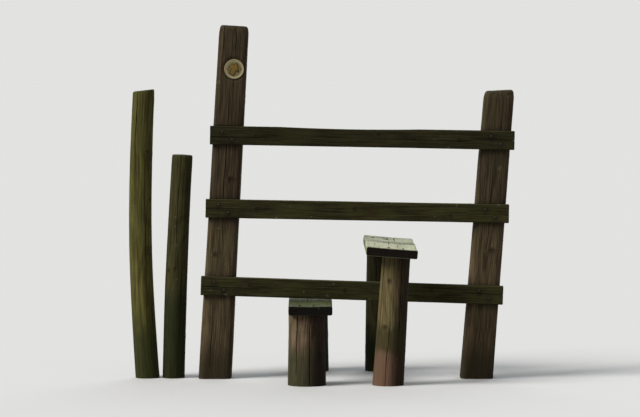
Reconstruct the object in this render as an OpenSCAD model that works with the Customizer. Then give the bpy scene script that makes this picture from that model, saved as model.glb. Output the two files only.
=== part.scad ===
// Timber step stile with a tall waymark post, two steps and two guard posts.
// Millimetres, +Z up. The origin is the middle of the waymark post's foot, +X runs
// along the fence to the right and -Y is the side from which the stile is approached.

/* [Main posts] */
// Clear width between the two main posts, at their feet
clear_width = 1070; // [900:10:1300]
// Width of a main post across its faces, at its foot
post_foot_w = 150; // [125:5:180]
// Width that a main post loses in each metre of its height
post_taper = 10; // [5:1:28]
// How square a main post is, from 4, worn round, to 12, sharp
post_squareness = 8; // [4:1:12]
// Height of the waymark post
waymark_post_h = 1640; // [1500:10:1850]
// Lean of the waymark post to the right, in degrees
waymark_post_lean = 3.2; // [0:0.2:5]
// Height of the right post
right_post_h = 1340; // [1250:10:1700]
// Lean of the right post to the right, in degrees
right_post_lean = 4.4; // [0:0.2:6]

/* [Rails] */
// Height of a rail's section
rail_h = 87; // [70:1:110]
// Thickness of a rail
rail_t = 38; // [30:1:50]
// Depth that a rail is let into its posts
housing_d = 22; // [10:1:30]
// Room between a rail and the top and bottom of its housing
housing_clear = 1; // [0.5:0.5:4]
// Length that a rail runs on past the outer face of its post
rail_overrun = 14; // [0:2:40]
// Worn edge of a rail, as a chamfer
rail_chamfer = 4; // [1:1:8]
// Open gap between the lower step and the bottom rail
step_to_rail_gap = 8; // [6:2:60]
// Rise from the bottom rail to the middle rail, at the waymark post
lower_rail_pitch = 360; // [300:2:400]
// Rise from the middle rail to the top rail
upper_rail_pitch = 340; // [300:2:400]
// Amount that the upper two rails fall from the waymark post to the right post
upper_rail_fall = 22; // [0:2:30]
// Amount that the bottom rail falls from the waymark post to the right post
bottom_rail_fall = 40; // [0:2:44]
// Depth worn out of the top rail's upper edge where people climb over
top_rail_wear = 5; // [2:1:12]

/* [Steps] */
// Height of the lower step's tread above the ground
lower_tread_top = 368; // [300:2:380]
// Rise from the lower tread to the upper tread
upper_tread_rise = 264; // [250:2:320]
// Length of both treads, through the fence
tread_l = 860; // [800:10:1100]
// Thickness of both treads
tread_t = 42; // [36:1:60]
// Width of the lower tread
lower_tread_w = 200; // [190:5:240]
// Width of the upper tread
upper_tread_w = 235; // [200:5:260]
// Clear distance from the waymark post to the lower tread, at the ground
lower_tread_offset = 270; // [200:5:290]
// Clear gap between the middles of the two treads, seen from above
tread_spacing = 152; // [120:2:180]
// Fall of the upper tread from its left edge to its right, in degrees
upper_tread_tilt = 4.5; // [0:0.5:6]
// Depth of the hollow that boots have worn in each end of a tread
tread_wear = 6; // [2:1:10]
// Worn top edge of a tread, as a chamfer
tread_chamfer = 8; // [3:1:12]
// Distance that a tread runs on past the middle of its leg
leg_inset = 100; // [90:5:150]
// Diameter of the lower step's log legs
lower_leg_d = 174; // [140:2:180]
// Diameter of the upper step's log legs
upper_leg_d = 144; // [120:2:160]
// Width that a log leg loses in each metre of its height
leg_taper = 34; // [10:2:40]
// Distance that the lower step's near leg stands left of its tread's middle
lower_near_leg_offset = 16; // [0:2:24]
// Lean of the upper step's near leg to the right, in degrees
upper_near_leg_lean = 3.6; // [0:0.2:4]
// Distance that the foot of the upper step's near leg stands left of its tread's middle
upper_near_leg_offset = 14; // [0:2:24]
// Distance that the upper step's far leg stands left of its tread's middle
upper_far_leg_offset = 38; // [0:2:44]

/* [Guard posts] */
// Height of the tall guard post
tall_guard_h = 1340; // [1200:10:1500]
// Diameter of the tall guard post
tall_guard_d = 111; // [80:1:120]
// Lean of the tall guard post to the left, in degrees
tall_guard_lean = 0.6; // [0:0.2:1]
// Bow of the tall guard post to the left, at its middle
tall_guard_bow = 24; // [0:2:30]
// Height of the short guard post
short_guard_h = 1040; // [950:10:1100]
// Diameter of the short guard post
short_guard_d = 105; // [80:1:120]
// Lean of the short guard post to the right, in degrees
short_guard_lean = 2.4; // [1:0.2:3]
// Bow of the short guard post to the left, at its middle
short_guard_bow = 6; // [0:2:12]
// Width that a guard post loses in each metre of its height
guard_taper = 8; // [2:1:15]
// Clear gap at the ground from the waymark post to the short guard post
short_guard_gap = 66; // [50:1:110]
// Clear gap at the ground from the short guard post to the tall one
tall_guard_gap = 14; // [8:1:60]

/* [Waymark] */
// Diameter of the waymark disc
disc_d = 90; // [75:1:100]
// Thickness of the disc at its rim
disc_t = 4; // [3:0.5:6]
// Depth of the disc's face inside its rim
disc_face_depth = 1.5; // [0.5:0.5:2]
// Width of the disc's rim
disc_rim_w = 4; // [2:1:8]
// Distance from the top of the post down to the disc's middle
disc_drop = 200; // [110:2:250]
// Distance that the disc sits right of the post's middle line
disc_offset = 12; // [0:2:14]
// Depth that the post is shaved flat behind the disc
disc_seat_depth = 3; // [2:0.5:6]

/* [Weathering] */
// Height of the worn crown on top of a main post
crown_h = 26; // [10:2:40]
// Height of the worn edge on top of a guard post
guard_crown_h = 9; // [4:1:16]
// Unevenness of hewn and peeled timber, as a share of its half width
roughness = 0.02; // [0:0.005:0.03]
// Widest gape of a drying split
split_gape = 7; // [3:1:10]
// Depth of a drying split
split_depth = 30; // [10:1:40]

/* [Hidden] */

// Colours, as the weathered timber shows them
post_colour = "#4a4033";
rail_colour = "#3a3a22";
tread_colour = "#87886c";
log_colour = "#5f5340";
guard_colour = "#4f4f2c";
disc_colour = "#b9a878";

post_sides = 36;
log_sides = 24;
ring_pitch = 140;
right_post_x = clear_width + post_foot_w;

lower_tread_x = post_foot_w / 2 + lower_tread_offset + lower_tread_w / 2;
upper_tread_x = lower_tread_x + (lower_tread_w + upper_tread_w) / 2 + tread_spacing;
upper_tread_top = lower_tread_top + upper_tread_rise;
leg_y = tread_l / 2 - leg_inset;

// Heights of the rails' middles at the waymark post, stacked from the lower tread up
bottom_rail_z = lower_tread_top + step_to_rail_gap + rail_h / 2
    + bottom_rail_fall * lower_tread_x / right_post_x;
middle_rail_z = bottom_rail_z + lower_rail_pitch;
top_rail_z = middle_rail_z + upper_rail_pitch;

disc_z = waymark_post_h - disc_drop;

short_guard_x = -post_foot_w / 2 - short_guard_gap - short_guard_d / 2;
tall_guard_x = short_guard_x - (short_guard_d + tall_guard_d) / 2 - tall_guard_gap;

// Width of a main post at height z
function post_w(z) = post_foot_w - post_taper * z / 1000;

// Middle of a leaning timber at height z
function axis_x(foot_x, lean, z) = foot_x + z * tan(lean);

// Reach of a section of half width 1 at angle a: a circle for n = 2, a square for a large n
function reach(a, n) = 1 / pow(pow(abs(cos(a)), n) + pow(abs(sin(a)), n), 1 / n);

// Gentle unevenness of natural timber, from -1 to 1
function wave(a, z, phase) =
    0.5 * sin(2 * a + z / 3.1 + phase) + 0.3 * sin(3 * a - z / 2.3 + 2 * phase)
    + 0.2 * sin(5 * a + z / 1.7 - phase);

// Solid lofted through level rings of points, each of them counterclockwise from above
module loft(rings) {
    sides = len(rings[0]);
    last = len(rings) - 1;
    points = [for (r = rings) each r];
    walls = [
        for (k = [0 : last - 1], i = [0 : sides - 1])
            let (a = k * sides + i, b = k * sides + (i + 1) % sides)
            each [[a, a + sides, b + sides], [a, b + sides, b]]
    ];
    foot = [for (i = [0 : sides - 1]) i];
    head = [for (i = [sides - 1 : -1 : 0]) last * sides + i];
    polyhedron(points, concat([foot], walls, [head]), convexity = 4);
}

// Standing timber: w is its width at the foot, taper its loss of width in each metre,
// n its squareness, slope the tangent of its sloping top, crown the height of the worn
// top's rounded edge and bow how far its middle stands out to the left
module timber(h, w, taper, foot, lean, n, sides, phase, slope = 0, crown = 0, bow = 0) {
    body_h = h - crown - abs(slope) * w / 2;
    steps = max(2, round(body_h / ring_pitch));
    body = [for (k = [0 : steps]) [body_h * k / steps, 0]];
    top = crown > 0 ? [[h - crown * 0.35, crown * 0.12], [h, crown * 0.38]] : [[h, 0]];
    loft([
        for (level = concat(body, top))
            let (z = level[0], half = (w - taper * z / 1000) / 2 - level[1])
            let (middle = axis_x(foot.x, lean, z) - bow * sin(180 * z / h))
            [
                for (i = [0 : sides - 1])
                    let (a = 360 * i / sides)
                    let (r = half * reach(a, n) * (1 + roughness * wave(a, z, phase)))
                    let (rise = z > body_h ? -slope * r * cos(a) : 0)
                    [middle + r * cos(a), foot.y + r * sin(a), z + rise]
            ]
    ]);
}

// Cylinder along Y that wears a hollow of this length and depth into the plane z = 0
module hollow(length, depth, across) {
    r = length * length / (8 * depth) + depth / 2;
    translate([0, 0, r - depth]) rotate([90, 0, 0])
        cylinder(r = r, h = across, center = true, $fn = 720);
}

// Drying split: a long wedge that opens outwards along +X from a timber's axis at height z
module split(surface_r, length, gape = split_gape, depth = split_depth) {
    out = 8;
    half = gape / 2 * (depth + out) / depth;
    polyhedron(
        [
            [surface_r + out, 0, -length / 2], [surface_r + out, 0, length / 2],
            [surface_r + out, -half, 0], [surface_r + out, half, 0],
            [surface_r - depth, 0, 0]
        ],
        [[0, 2, 3], [1, 3, 2], [0, 3, 4], [0, 4, 2], [1, 4, 3], [1, 2, 4]]
    );
}

// Split in a leaning timber, at height z, facing angle a
module split_at(foot, lean, z, a, surface_r, length) {
    translate([axis_x(foot.x, lean, z), foot.y, z]) rotate([0, lean, 0]) rotate(a)
        split(surface_r, length);
}

// Back face of a rail, where it beds on the floor of its housings
function rail_back_y(z) = -post_w(z) / 2 + housing_d;

// Ends of a rail whose middle is at height z
function rail_left(z) =
    axis_x(0, waymark_post_lean, z) - post_w(z) / 2 - rail_overrun;
function rail_right(z) =
    axis_x(right_post_x, right_post_lean, z) + post_w(z) / 2 + rail_overrun;

// Places things along the rail whose middle meets the waymark post at height z and falls
// by this much on its way to the right post
module along_rail(z, fall) {
    translate([0, rail_back_y(z), z]) rotate([0, atan(fall / right_post_x), 0])
        children();
}

// Board along the fence, with worn front edges
module rail_board(z, fall) {
    c = rail_chamfer;
    h = rail_h;
    along_rail(z, fall) translate([rail_left(z), 0, 0]) rotate([90, 0, 90])
        linear_extrude(rail_right(z) - rail_left(z))
            polygon([
                [0, -h / 2], [0, h / 2],
                [-rail_t + c, h / 2], [-rail_t, h / 2 - c],
                [-rail_t, -h / 2 + c], [-rail_t + c, -h / 2]
            ]);
}

// Notch for a rail in the near face of a post, open to the front
module housing(z, fall) {
    along_rail(z, fall)
        translate([-post_foot_w - rail_overrun, -post_foot_w, -rail_h / 2 - housing_clear])
            cube([
                right_post_x + 3 * post_foot_w + 2 * rail_overrun,
                post_foot_w,
                rail_h + 2 * housing_clear
            ]);
}

module housings() {
    housing(bottom_rail_z, bottom_rail_fall);
    housing(middle_rail_z, upper_rail_fall);
    housing(top_rail_z, upper_rail_fall);
}

// Middle of the disc's seat on the near face of the waymark post
function disc_seat() = [
    axis_x(disc_offset, waymark_post_lean, disc_z),
    -post_w(disc_z) / 2 + disc_seat_depth,
    disc_z
];

module waymark_post() {
    color(post_colour) difference() {
        timber(
            waymark_post_h, post_foot_w, post_taper, [0, 0], waymark_post_lean,
            post_squareness, post_sides, 40, 0.06, crown_h
        );
        housings();
        translate(disc_seat()) rotate([90, 0, 0])
            cylinder(d = disc_d + 6, h = post_foot_w / 2, $fn = 72);
        split_at([0, 0], waymark_post_lean, 1000, -88, post_w(1000) / 2, 620);
        split_at([0, 0], waymark_post_lean, 260, 86, post_w(260) / 2, 460);
    }
}

module right_post() {
    color(post_colour) difference() {
        timber(
            right_post_h, post_foot_w, post_taper, [right_post_x, 0], right_post_lean,
            post_squareness, post_sides, 210, -0.05, crown_h
        );
        housings();
        split_at([right_post_x, 0], right_post_lean, 950, 90, post_w(950) / 2, 560);
    }
}

module top_rail() {
    color(rail_colour) difference() {
        rail_board(top_rail_z, upper_rail_fall);
        along_rail(top_rail_z, upper_rail_fall)
            translate([(lower_tread_x + upper_tread_x) / 2, -rail_t / 2, rail_h / 2])
                hollow(clear_width * 0.6, top_rail_wear, 2 * rail_t);
    }
}

module middle_rail() {
    color(rail_colour) rail_board(middle_rail_z, upper_rail_fall);
}

module bottom_rail() {
    color(rail_colour) rail_board(bottom_rail_z, bottom_rail_fall);
}

// Plank through the fence, with its underside on the plane z = 0: the section across it
// and the side along it are both extruded, and boots have worn a hollow at each end
module tread_plank(w) {
    c = tread_chamfer;
    x = w / 2;
    y = tread_l / 2;
    color(tread_colour) difference() {
        intersection() {
            rotate([90, 0, 0]) linear_extrude(2 * tread_l, center = true)
                polygon([
                    [-x, c / 3], [-x + c / 3, 0], [x - c / 3, 0], [x, c / 3],
                    [x, tread_t - c], [x - c, tread_t], [-x + c, tread_t], [-x, tread_t - c]
                ]);
            rotate([90, 0, 90]) linear_extrude(2 * w, center = true)
                polygon([
                    [-y, 0], [y, 0], [y, tread_t - c], [y - c / 2, tread_t],
                    [-y + c / 2, tread_t], [-y, tread_t - c]
                ]);
        }
        for (side = [-1, 1])
            translate([0, side * tread_l * 0.3, tread_t]) rotate(90)
                hollow(tread_l * 0.34, tread_wear, 2 * w);
    }
}

module lower_tread() {
    translate([lower_tread_x, 0, lower_tread_top - tread_t]) tread_plank(lower_tread_w);
}

module upper_tread() {
    translate([upper_tread_x, 0, upper_tread_top - tread_t])
        rotate([0, upper_tread_tilt, 0]) tread_plank(upper_tread_w);
}

// Peeled log under one end of the tread at x, cut off on the slope of the tread's
// underside, with its foot a given distance left of the tread's middle
module log_leg(x, offset, side, top_z, d, lean, tilt, phase) {
    foot = [x - offset, side * leg_y];
    split_z = top_z * 0.75;
    split_r = (d - leg_taper * split_z / 1000) / 2;
    color(log_colour) difference() {
        timber(top_z + d, d, leg_taper, foot, lean, 2, log_sides, phase);
        translate([x, foot.y, top_z]) rotate([0, tilt, 0])
            translate([-2 * d, -d, 0]) cube([4 * d, 2 * d, 3 * d]);
        split_at(foot, lean, split_z, side > 0 ? 70 : -60, split_r, top_z * 0.7);
    }
}

module lower_leg(side, offset, phase) {
    log_leg(lower_tread_x, offset, side, lower_tread_top - tread_t, lower_leg_d, 0, 0, phase);
}

module upper_leg(side, offset, lean, phase) {
    log_leg(
        upper_tread_x, offset, side, upper_tread_top - tread_t, upper_leg_d,
        lean, upper_tread_tilt, phase
    );
}

module tall_guard_post() {
    color(guard_colour) difference() {
        timber(
            tall_guard_h, tall_guard_d, guard_taper, [tall_guard_x, 0], -tall_guard_lean,
            2, log_sides, 75, -0.12, guard_crown_h, tall_guard_bow
        );
        split_at(
            [tall_guard_x - tall_guard_bow, 0], -tall_guard_lean, tall_guard_h / 2, -62,
            (tall_guard_d - guard_taper * tall_guard_h / 2000) / 2, tall_guard_h * 0.5
        );
    }
}

module short_guard_post() {
    split_z = short_guard_h * 0.68;
    split_x = short_guard_x - short_guard_bow * sin(180 * split_z / short_guard_h);
    color(guard_colour) difference() {
        timber(
            short_guard_h, short_guard_d, guard_taper, [short_guard_x, 0],
            short_guard_lean, 2, log_sides, 310, 0.05, guard_crown_h, short_guard_bow
        );
        split_at(
            [split_x, 0], short_guard_lean, split_z, 110,
            (short_guard_d - guard_taper * split_z / 1000) / 2, short_guard_h * 0.46
        );
    }
}

module waymark_disc() {
    color(disc_colour) translate(disc_seat()) rotate([90, 0, 0]) difference() {
        cylinder(d = disc_d, h = disc_t, $fn = 72);
        translate([0, 0, disc_t - disc_face_depth])
            cylinder(d = disc_d - 2 * disc_rim_w, h = disc_t, $fn = 72);
    }
}

waymark_post();
right_post();
top_rail();
middle_rail();
bottom_rail();
lower_tread();
lower_leg(-1, lower_near_leg_offset, 15);  // lower_near_leg
lower_leg(1, 0, 130);  // lower_far_leg
upper_tread();
upper_leg(-1, upper_near_leg_offset, upper_near_leg_lean, 260);  // upper_near_leg
upper_leg(1, upper_far_leg_offset, 0, 350);  // upper_far_leg
tall_guard_post();
short_guard_post();
waymark_disc();
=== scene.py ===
"""Looks of the timber step stile: weathered posts, rails, treads, logs, nails and waymark disc."""
from math import ceil, cos, exp, hypot, pi, radians, sin
from types import SimpleNamespace as Fields

import bpy
import numpy as np
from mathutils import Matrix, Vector
from mathutils.bvhtree import BVHTree


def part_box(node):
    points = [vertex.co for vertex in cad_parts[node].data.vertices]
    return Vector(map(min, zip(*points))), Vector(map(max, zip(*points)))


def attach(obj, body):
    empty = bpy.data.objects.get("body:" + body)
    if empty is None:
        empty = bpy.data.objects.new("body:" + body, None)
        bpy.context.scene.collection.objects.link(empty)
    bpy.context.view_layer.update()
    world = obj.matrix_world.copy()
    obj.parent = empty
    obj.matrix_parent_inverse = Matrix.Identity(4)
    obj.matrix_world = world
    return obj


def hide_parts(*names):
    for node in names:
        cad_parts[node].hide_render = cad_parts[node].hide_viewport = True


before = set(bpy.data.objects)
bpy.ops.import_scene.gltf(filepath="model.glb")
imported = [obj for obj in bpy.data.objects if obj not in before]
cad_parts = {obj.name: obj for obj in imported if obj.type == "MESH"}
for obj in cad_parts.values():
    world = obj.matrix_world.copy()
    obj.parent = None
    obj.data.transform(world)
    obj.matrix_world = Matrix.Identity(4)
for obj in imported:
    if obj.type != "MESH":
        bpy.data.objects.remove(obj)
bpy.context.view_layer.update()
scene = bpy.context.scene
COARSE = 1.0
MM = 0.001
UP, NEAR = Vector((0, 0, 1)), Vector((0, -1, 0))
RAILS = ("bottom_rail", "middle_rail", "top_rail")

disc_low, disc_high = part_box("waymark_disc")
DISC_MIDDLE = (disc_low + disc_high) / 2
DISC_R = (disc_high.x - disc_low.x) / 2
RIM_W = 4 * MM
SEAT = Fields(x=DISC_MIDDLE.x, y=disc_high.y, z=DISC_MIDDLE.z, r=DISC_R + 3 * MM)


# Noise and small maths

def lattice(cell, seed):
    """Fixed random value from -1 to 1 for each whole-number cell."""
    mask = 0xFFFFFFFF
    h = (cell[..., 0] * 0x8DA6B343 ^ cell[..., 1] * 0xD8163841 ^ cell[..., 2] * 0xCB1AB31F
         ^ (seed + 1) * 0x9E3779B1) & mask
    h = (h ^ h >> 15) * 0x2C1B3C6D & mask
    h = (h ^ h >> 12) * 0x297A2D39 & mask
    return (h ^ h >> 15) / mask * 2 - 1


def noise(points, cells, seed, octaves=1):
    """Smooth noise from -1 to 1, with these cells per metre along each axis."""
    total, weight = 0.0, 0.0
    for k in range(octaves):
        q = points * (np.array(cells, float) * 2.0 ** k)
        cell = np.floor(q).astype(np.int64)
        f = q - cell
        f = f * f * (3 - 2 * f)
        value = 0.0
        for corner in range(8):
            c = np.array([corner & 1, corner >> 1 & 1, corner >> 2])
            near = np.prod(np.where(c, f, 1 - f), axis=-1)
            value = value + near * lattice(cell + c, seed + 31 * k)
        total, weight = total + value * 0.5 ** k, weight + 0.5 ** k
    return total / weight


def line_noise(x, cells, seed):
    """Smooth noise along one coordinate."""
    return noise(np.stack([x, 0 * x, 0 * x], -1), (cells, 1, 1), seed)


def smoothstep(low, high, x):
    t = np.clip((x - low) / (high - low), 0, 1)
    return t * t * (3 - 2 * t)


def unit(vectors):
    return vectors / np.linalg.norm(vectors, axis=-1, keepdims=True)


def shifted(grid, k, axis):
    """Grid moved by k cells: angles wrap round and rows don't."""
    if axis == 1:
        return np.roll(grid, k, axis=1)
    return grid[np.clip(np.arange(len(grid)) + k, 0, len(grid) - 1)]


def smeared(grid, reach, axis):
    """Grid blurred over reach cells each way."""
    total, weight = 0.0, 0.0
    for k in range(-reach, reach + 1):
        w = exp(-2.0 * (k / reach) ** 2)
        total, weight = total + w * shifted(grid, k, axis), weight + w
    return total / weight


def filled(grid, reach, axis):
    """Grid with the dents narrower than twice reach filled in."""
    moves = range(-reach, reach + 1)
    raised = np.maximum.reduce([shifted(grid, k, axis) for k in moves])
    return np.minimum.reduce([shifted(raised, k, axis) for k in moves])


# The CAD solids, felt with rays

class Solid:
    """A CAD node's surface."""

    def __init__(self, node):
        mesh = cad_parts[node].data
        self.tree = BVHTree.FromPolygons(
            [v.co for v in mesh.vertices], [tuple(p.vertices) for p in mesh.polygons])
        self.low, self.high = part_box(node)
        self.centre = (self.low + self.high) / 2

    def hit(self, origin, direction):
        """(place, normal, distance) where a ray first meets the surface."""
        place, normal, _, distance = self.tree.ray_cast(Vector(origin), Vector(direction))
        return place, normal, distance

    def top_at(self, x, y):
        return self.hit((x, y, self.high.z + 1), -UP)[0].z


class Upright(Solid):
    """A standing timber: its middle line, its top and its width all round."""
    ANGLES = 144
    PITCH = 7 * MM
    NOTCH_FILL = 54 * MM
    SPLIT_FILL = 4

    def __init__(self, node, rounding=4, capped=True):
        super().__init__(node)
        self.rounding, self.capped, self.y = rounding, capped, self.centre.y
        level = np.linspace(0.02, self.high.z - 0.06, 24)
        self.bend = np.polyfit(level, [self.middle_at(z) for z in level], 2)
        self.top_x = self.middle(self.high.z)
        self.top = self.top_at(self.top_x, self.y)
        self.half = self.hit((self.top_x, self.y, self.top - 0.08), (1, 0, 0))[2]
        self.side_top = self.top - self.half if capped else self.top

    def middle_at(self, z):
        left = self.hit((self.low.x - 1, self.y, z), (1, 0, 0))[0].x
        right = self.hit((self.high.x + 1, self.y, z), (-1, 0, 0))[0].x
        return (left + right) / 2

    def middle(self, z):
        return np.polyval(self.bend, z)

    def top_slope(self, step=0.04):
        """Rise of a cut top for each metre to the right."""
        left, right = (self.top_at(self.top_x + dx, self.y) for dx in (-step, step))
        return (right - left) / (2 * step)

    def cast(self, z, rise=0.0):
        """Reach of the rays that leave the axis at height z, all round."""
        start = (self.middle(z), self.y, z)
        turn = 2 * pi * np.arange(self.ANGLES) / self.ANGLES
        return [self.hit(start, Vector((cos(a), sin(a), rise)).normalized())[2] for a in turn]

    def sides(self, z, lowest, highest):
        """Reach at heights z, with notches and splits filled and facets smoothed."""
        level = np.arange(lowest, highest, self.PITCH)
        found = np.array([self.cast(h) for h in level])
        found = filled(found, ceil(self.NOTCH_FILL / self.PITCH), 0)
        found = filled(found, self.SPLIT_FILL, 1)
        found = smeared(smeared(found, self.rounding, 1), 5, 0)
        row = np.clip((z - lowest) / self.PITCH, 0, len(level) - 1.001)
        part = (row % 1)[:, None]
        return found[row.astype(int)] * (1 - part) + found[row.astype(int) + 1] * part

    def crown(self, z, rises):
        """Reach of the rays that rise from height z to the top."""
        found = filled(np.array([self.cast(z, r) for r in rises]), self.SPLIT_FILL, 1)
        return smeared(smeared(found, self.rounding, 1), 1, 0)


def rail_slope(rail):
    """Rise of a rail's top for each metre to the right, near its left end."""
    normal = rail.hit((rail.low.x + 0.1, rail.centre.y, rail.high.z + 1), -UP)[1]
    return -normal.x / normal.z


def rail_level(rail, x):
    """Height of a rail's middle line at x."""
    return rail.centre.z + rail_slope(rail) * (x - rail.centre.x)


def notches_of(post):
    """The rails' notches in the near face of a post."""
    found = []
    for rail in map(Solid, RAILS):
        x = post.middle(rail.centre.z)
        z = rail_level(rail, x)
        floor = post.hit((x, -1, z), -NEAR)[0].y
        inside = (x, floor - 3 * MM, z)
        low, high = (post.hit(inside, way)[0].z for way in (-UP, UP))
        found.append(Fields(low=low, high=high, floor=floor, slope=rail_slope(rail)))
    return found


# Timber skins
# A skin is a grid of points, with rows one after another along the timber and columns round it.
# Its ends are closed.

CLOSE = (0.1, 0.3, 0.5, 0.68, 0.82, 0.93, 0.985)
CAP = (0.99, 0.93, 0.86, 0.78, 0.7, 0.6, 0.5, 0.4, 0.3, 0.2, 0.1)
ROW_PITCH, BOARD_ROW_PITCH = 7 * MM * COARSE, 8 * MM * COARSE
KNOT_ROW_PITCH, SEAT_ROW_PITCH = 2.8 * MM * COARSE, 2.2 * MM * COARSE
COLUMN_PITCH, PLANK_COLUMN_PITCH = 2.6 * MM * COARSE, 3.2 * MM * COARSE
KNOT_REACH = 2.2
CRACK_ROOM = 5.2 * MM
CRACK_COLUMNS = np.array([-4.6, -2.9, -1.4, 0, 1.4, 2.9, 4.6]) * MM
LEDGE, LEDGE_ROOM = 0.4 * MM, 2.5 * MM
SEAT_EDGE = 15 * MM
END_ROUND, END_ROOM = 2.6 * MM, 7 * MM


def crack(u, s0, s1, gape, depth):
    """Drying split at u round a timber, from s0 to s1 along it; gape and depth in mm."""
    return Fields(u=u, s0=s0, s1=s1, gape=gape * MM, depth=depth * MM)


def knot(u, s, r):
    """Knot of radius r, in mm, at u round a timber and s along it."""
    return Fields(u=u, s=s, r=r * MM)


def around(u, mark, girth):
    """Distance round a timber from a crack or knot to each column."""
    return ((u - mark.u + 0.5) % 1 - 0.5)[None, :] * girth


def columns(girth, pitch, cracks):
    """Places round a timber, as shares of its girth, closer at each crack."""
    count = round(girth / pitch)
    u = np.arange(count) / count
    for split in cracks:
        u = u[np.abs(around(u, split, girth)[0]) > CRACK_ROOM]
        u = np.append(u, (split.u + CRACK_COLUMNS / girth) % 1)
    return np.unique(np.round(u, 7))


def closer(rows, places, pitch):
    """Rows set closer round each (place, reach)."""
    first, last = rows[0], rows[-1]
    for place, reach in places:
        rows = rows[np.abs(rows - place) > reach + pitch / 2]
        extra = np.arange(place - reach, place + reach, pitch)
        rows = np.append(rows, extra[(extra > first + pitch) & (extra < last - pitch)])
    return np.unique(np.append(rows, [first, last]))


def closer_at_knots(rows, knots):
    return closer(rows, [(mark.s, KNOT_REACH * mark.r) for mark in knots], KNOT_ROW_PITCH)


def flow(u, s, girth, seed, knots, wander):
    """Sideways shift of the grain as it wanders and parts round knots."""
    shift = wander * line_noise(s, 1.6, seed) + 0.35 * wander * line_noise(s, 9, seed + 1)
    shift = shift[:, None] + 0 * u[None, :]
    for mark in knots:
        across = around(u, mark, girth)
        along = (s - mark.s)[:, None] / 1.9
        r2 = (mark.r * 1.3) ** 2
        shift = shift + 0.8 * across * r2 / (across ** 2 + along ** 2 + r2)
    return shift


def grain_place(girth, u, scale, along):
    """Coordinates for the grain, on a cylinder of the timber's girth."""
    radius, turn = girth / (2 * pi) * scale, 2 * pi * u[None, :]
    return np.stack(np.broadcast_arrays(radius * np.cos(turn), radius * np.sin(turn), along), -1)


def year_rings(a, b, s, grain, seed, pith=(0, 0), bends=2.2, sway=7, waver=1.5):
    """Distance from the pith, which sways along the timber; sway and waver in mm."""
    pith_a, pith_b = ((start + line_noise(s, bends, seed + 21 + k) * sway * MM)[:, None]
                      for k, start in enumerate(pith))
    return np.hypot(a - pith_a, b - pith_b) + waver * MM * noise(grain, (14, 14, 3), seed + 23)


def sink_cracks(skin, seed, cracks):
    """Depth of the cracks at each point; the skin keeps a mask of them."""
    s, share = skin.s, skin.share
    depth = mask = np.zeros(skin.grain.shape[:2])
    for split in cracks:
        t = np.clip((s - split.s0) / (split.s1 - split.s0), 0, 1)
        swell = np.sqrt(4 * t * (1 - t)) * (0.8 + 0.3 * line_noise(s, 14, seed + 5))
        swell = np.clip(swell * smoothstep(0.05, 0.8, share), 0, 1.2)[:, None]
        away = np.abs(around(skin.u, split, skin.girth)) * share[:, None]
        groove = swell * np.clip(1 - away / (split.gape / 2 * np.maximum(swell, 0.3)), 0, 1)
        depth = np.maximum(depth, split.depth * groove)
        mask = np.maximum(mask, np.clip(groove * 2.2, 0, 1))
    skin.check = mask
    return depth


def raise_knots(skin, raised, seed, knots):
    """Adds the knots' uneven rims to raised; the skin keeps a mask of them."""
    side = skin.share[:, None] >= 0.999
    mask = np.zeros(raised.shape)
    for k, mark in enumerate(knots):
        along = (skin.s - mark.s)[:, None] / 1.3
        r = np.hypot(around(skin.u, mark, skin.girth), along) / mark.r
        r = r * (1 + 0.3 * noise(skin.grain, (70, 70, 70), seed + 60 + k))
        mask = np.maximum(mask, np.where(side, np.exp(-r ** 2), 0))
        uneven = 1 + 0.9 * noise(skin.grain, (45, 45, 30), seed + 90 + k)
        ridge = 0.6 * uneven * np.exp(-((r - 0.95) / 0.45) ** 2) - 0.35 * np.exp(-(r / 0.45) ** 2)
        raised = raised + np.where(side, ridge * MM, 0)
    skin.knot = mask
    return raised


def weather(skin, seed, cracks, knots, grain=0.45, lumps=1.1):
    """Depth of a skin's points: lumps and grain, in mm, knots and cracks."""
    layers = (lumps, (7, 7, 1.3), 0), (grain, (150, 150, 5), 2), (0.25, (60, 60, 60), 3)
    raised = sum(size * MM * noise(skin.grain, cells, seed + k, 2) for size, cells, k in layers)
    skin.depth = raise_knots(skin, raised, seed, knots) - sink_cracks(skin, seed, cracks)


def new_object(name, data):
    ob = bpy.data.objects.new(name, data)
    scene.collection.objects.link(ob)
    return ob


def aim(ob, way):
    """Turns a lamp or camera to look along a direction."""
    ob.rotation_mode = "QUATERNION"
    ob.rotation_quaternion = way.to_track_quat("-Z", "Y")


def new_mesh(name, points, faces):
    mesh = bpy.data.meshes.new(name)
    mesh.from_pydata(points, [], faces)
    mesh.update()
    return mesh


def ring_faces(rows, cols):
    """Faces between rows of points that each close into a ring."""
    return [(k + i, k + (i + 1) % cols, k + cols + (i + 1) % cols, k + cols + i)
            for k in range(0, (rows - 1) * cols, cols) for i in range(cols)]


def closed_rings(rows, cols):
    """The same, with a flat face at each end."""
    last = (rows - 1) * cols
    return ring_faces(rows, cols) + [tuple(reversed(range(cols))), tuple(range(last, last + cols))]


def finished(mesh, material, node=None):
    """Puts a piece in the scene, with its material, on the stile's body."""
    mesh.shade_smooth()
    mesh.set_sharp_from_angle(angle=radians(52))
    mesh.materials.append(material)
    piece = new_object(mesh.name, mesh)
    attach(piece, "root")
    if node:
        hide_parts(node)


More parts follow.
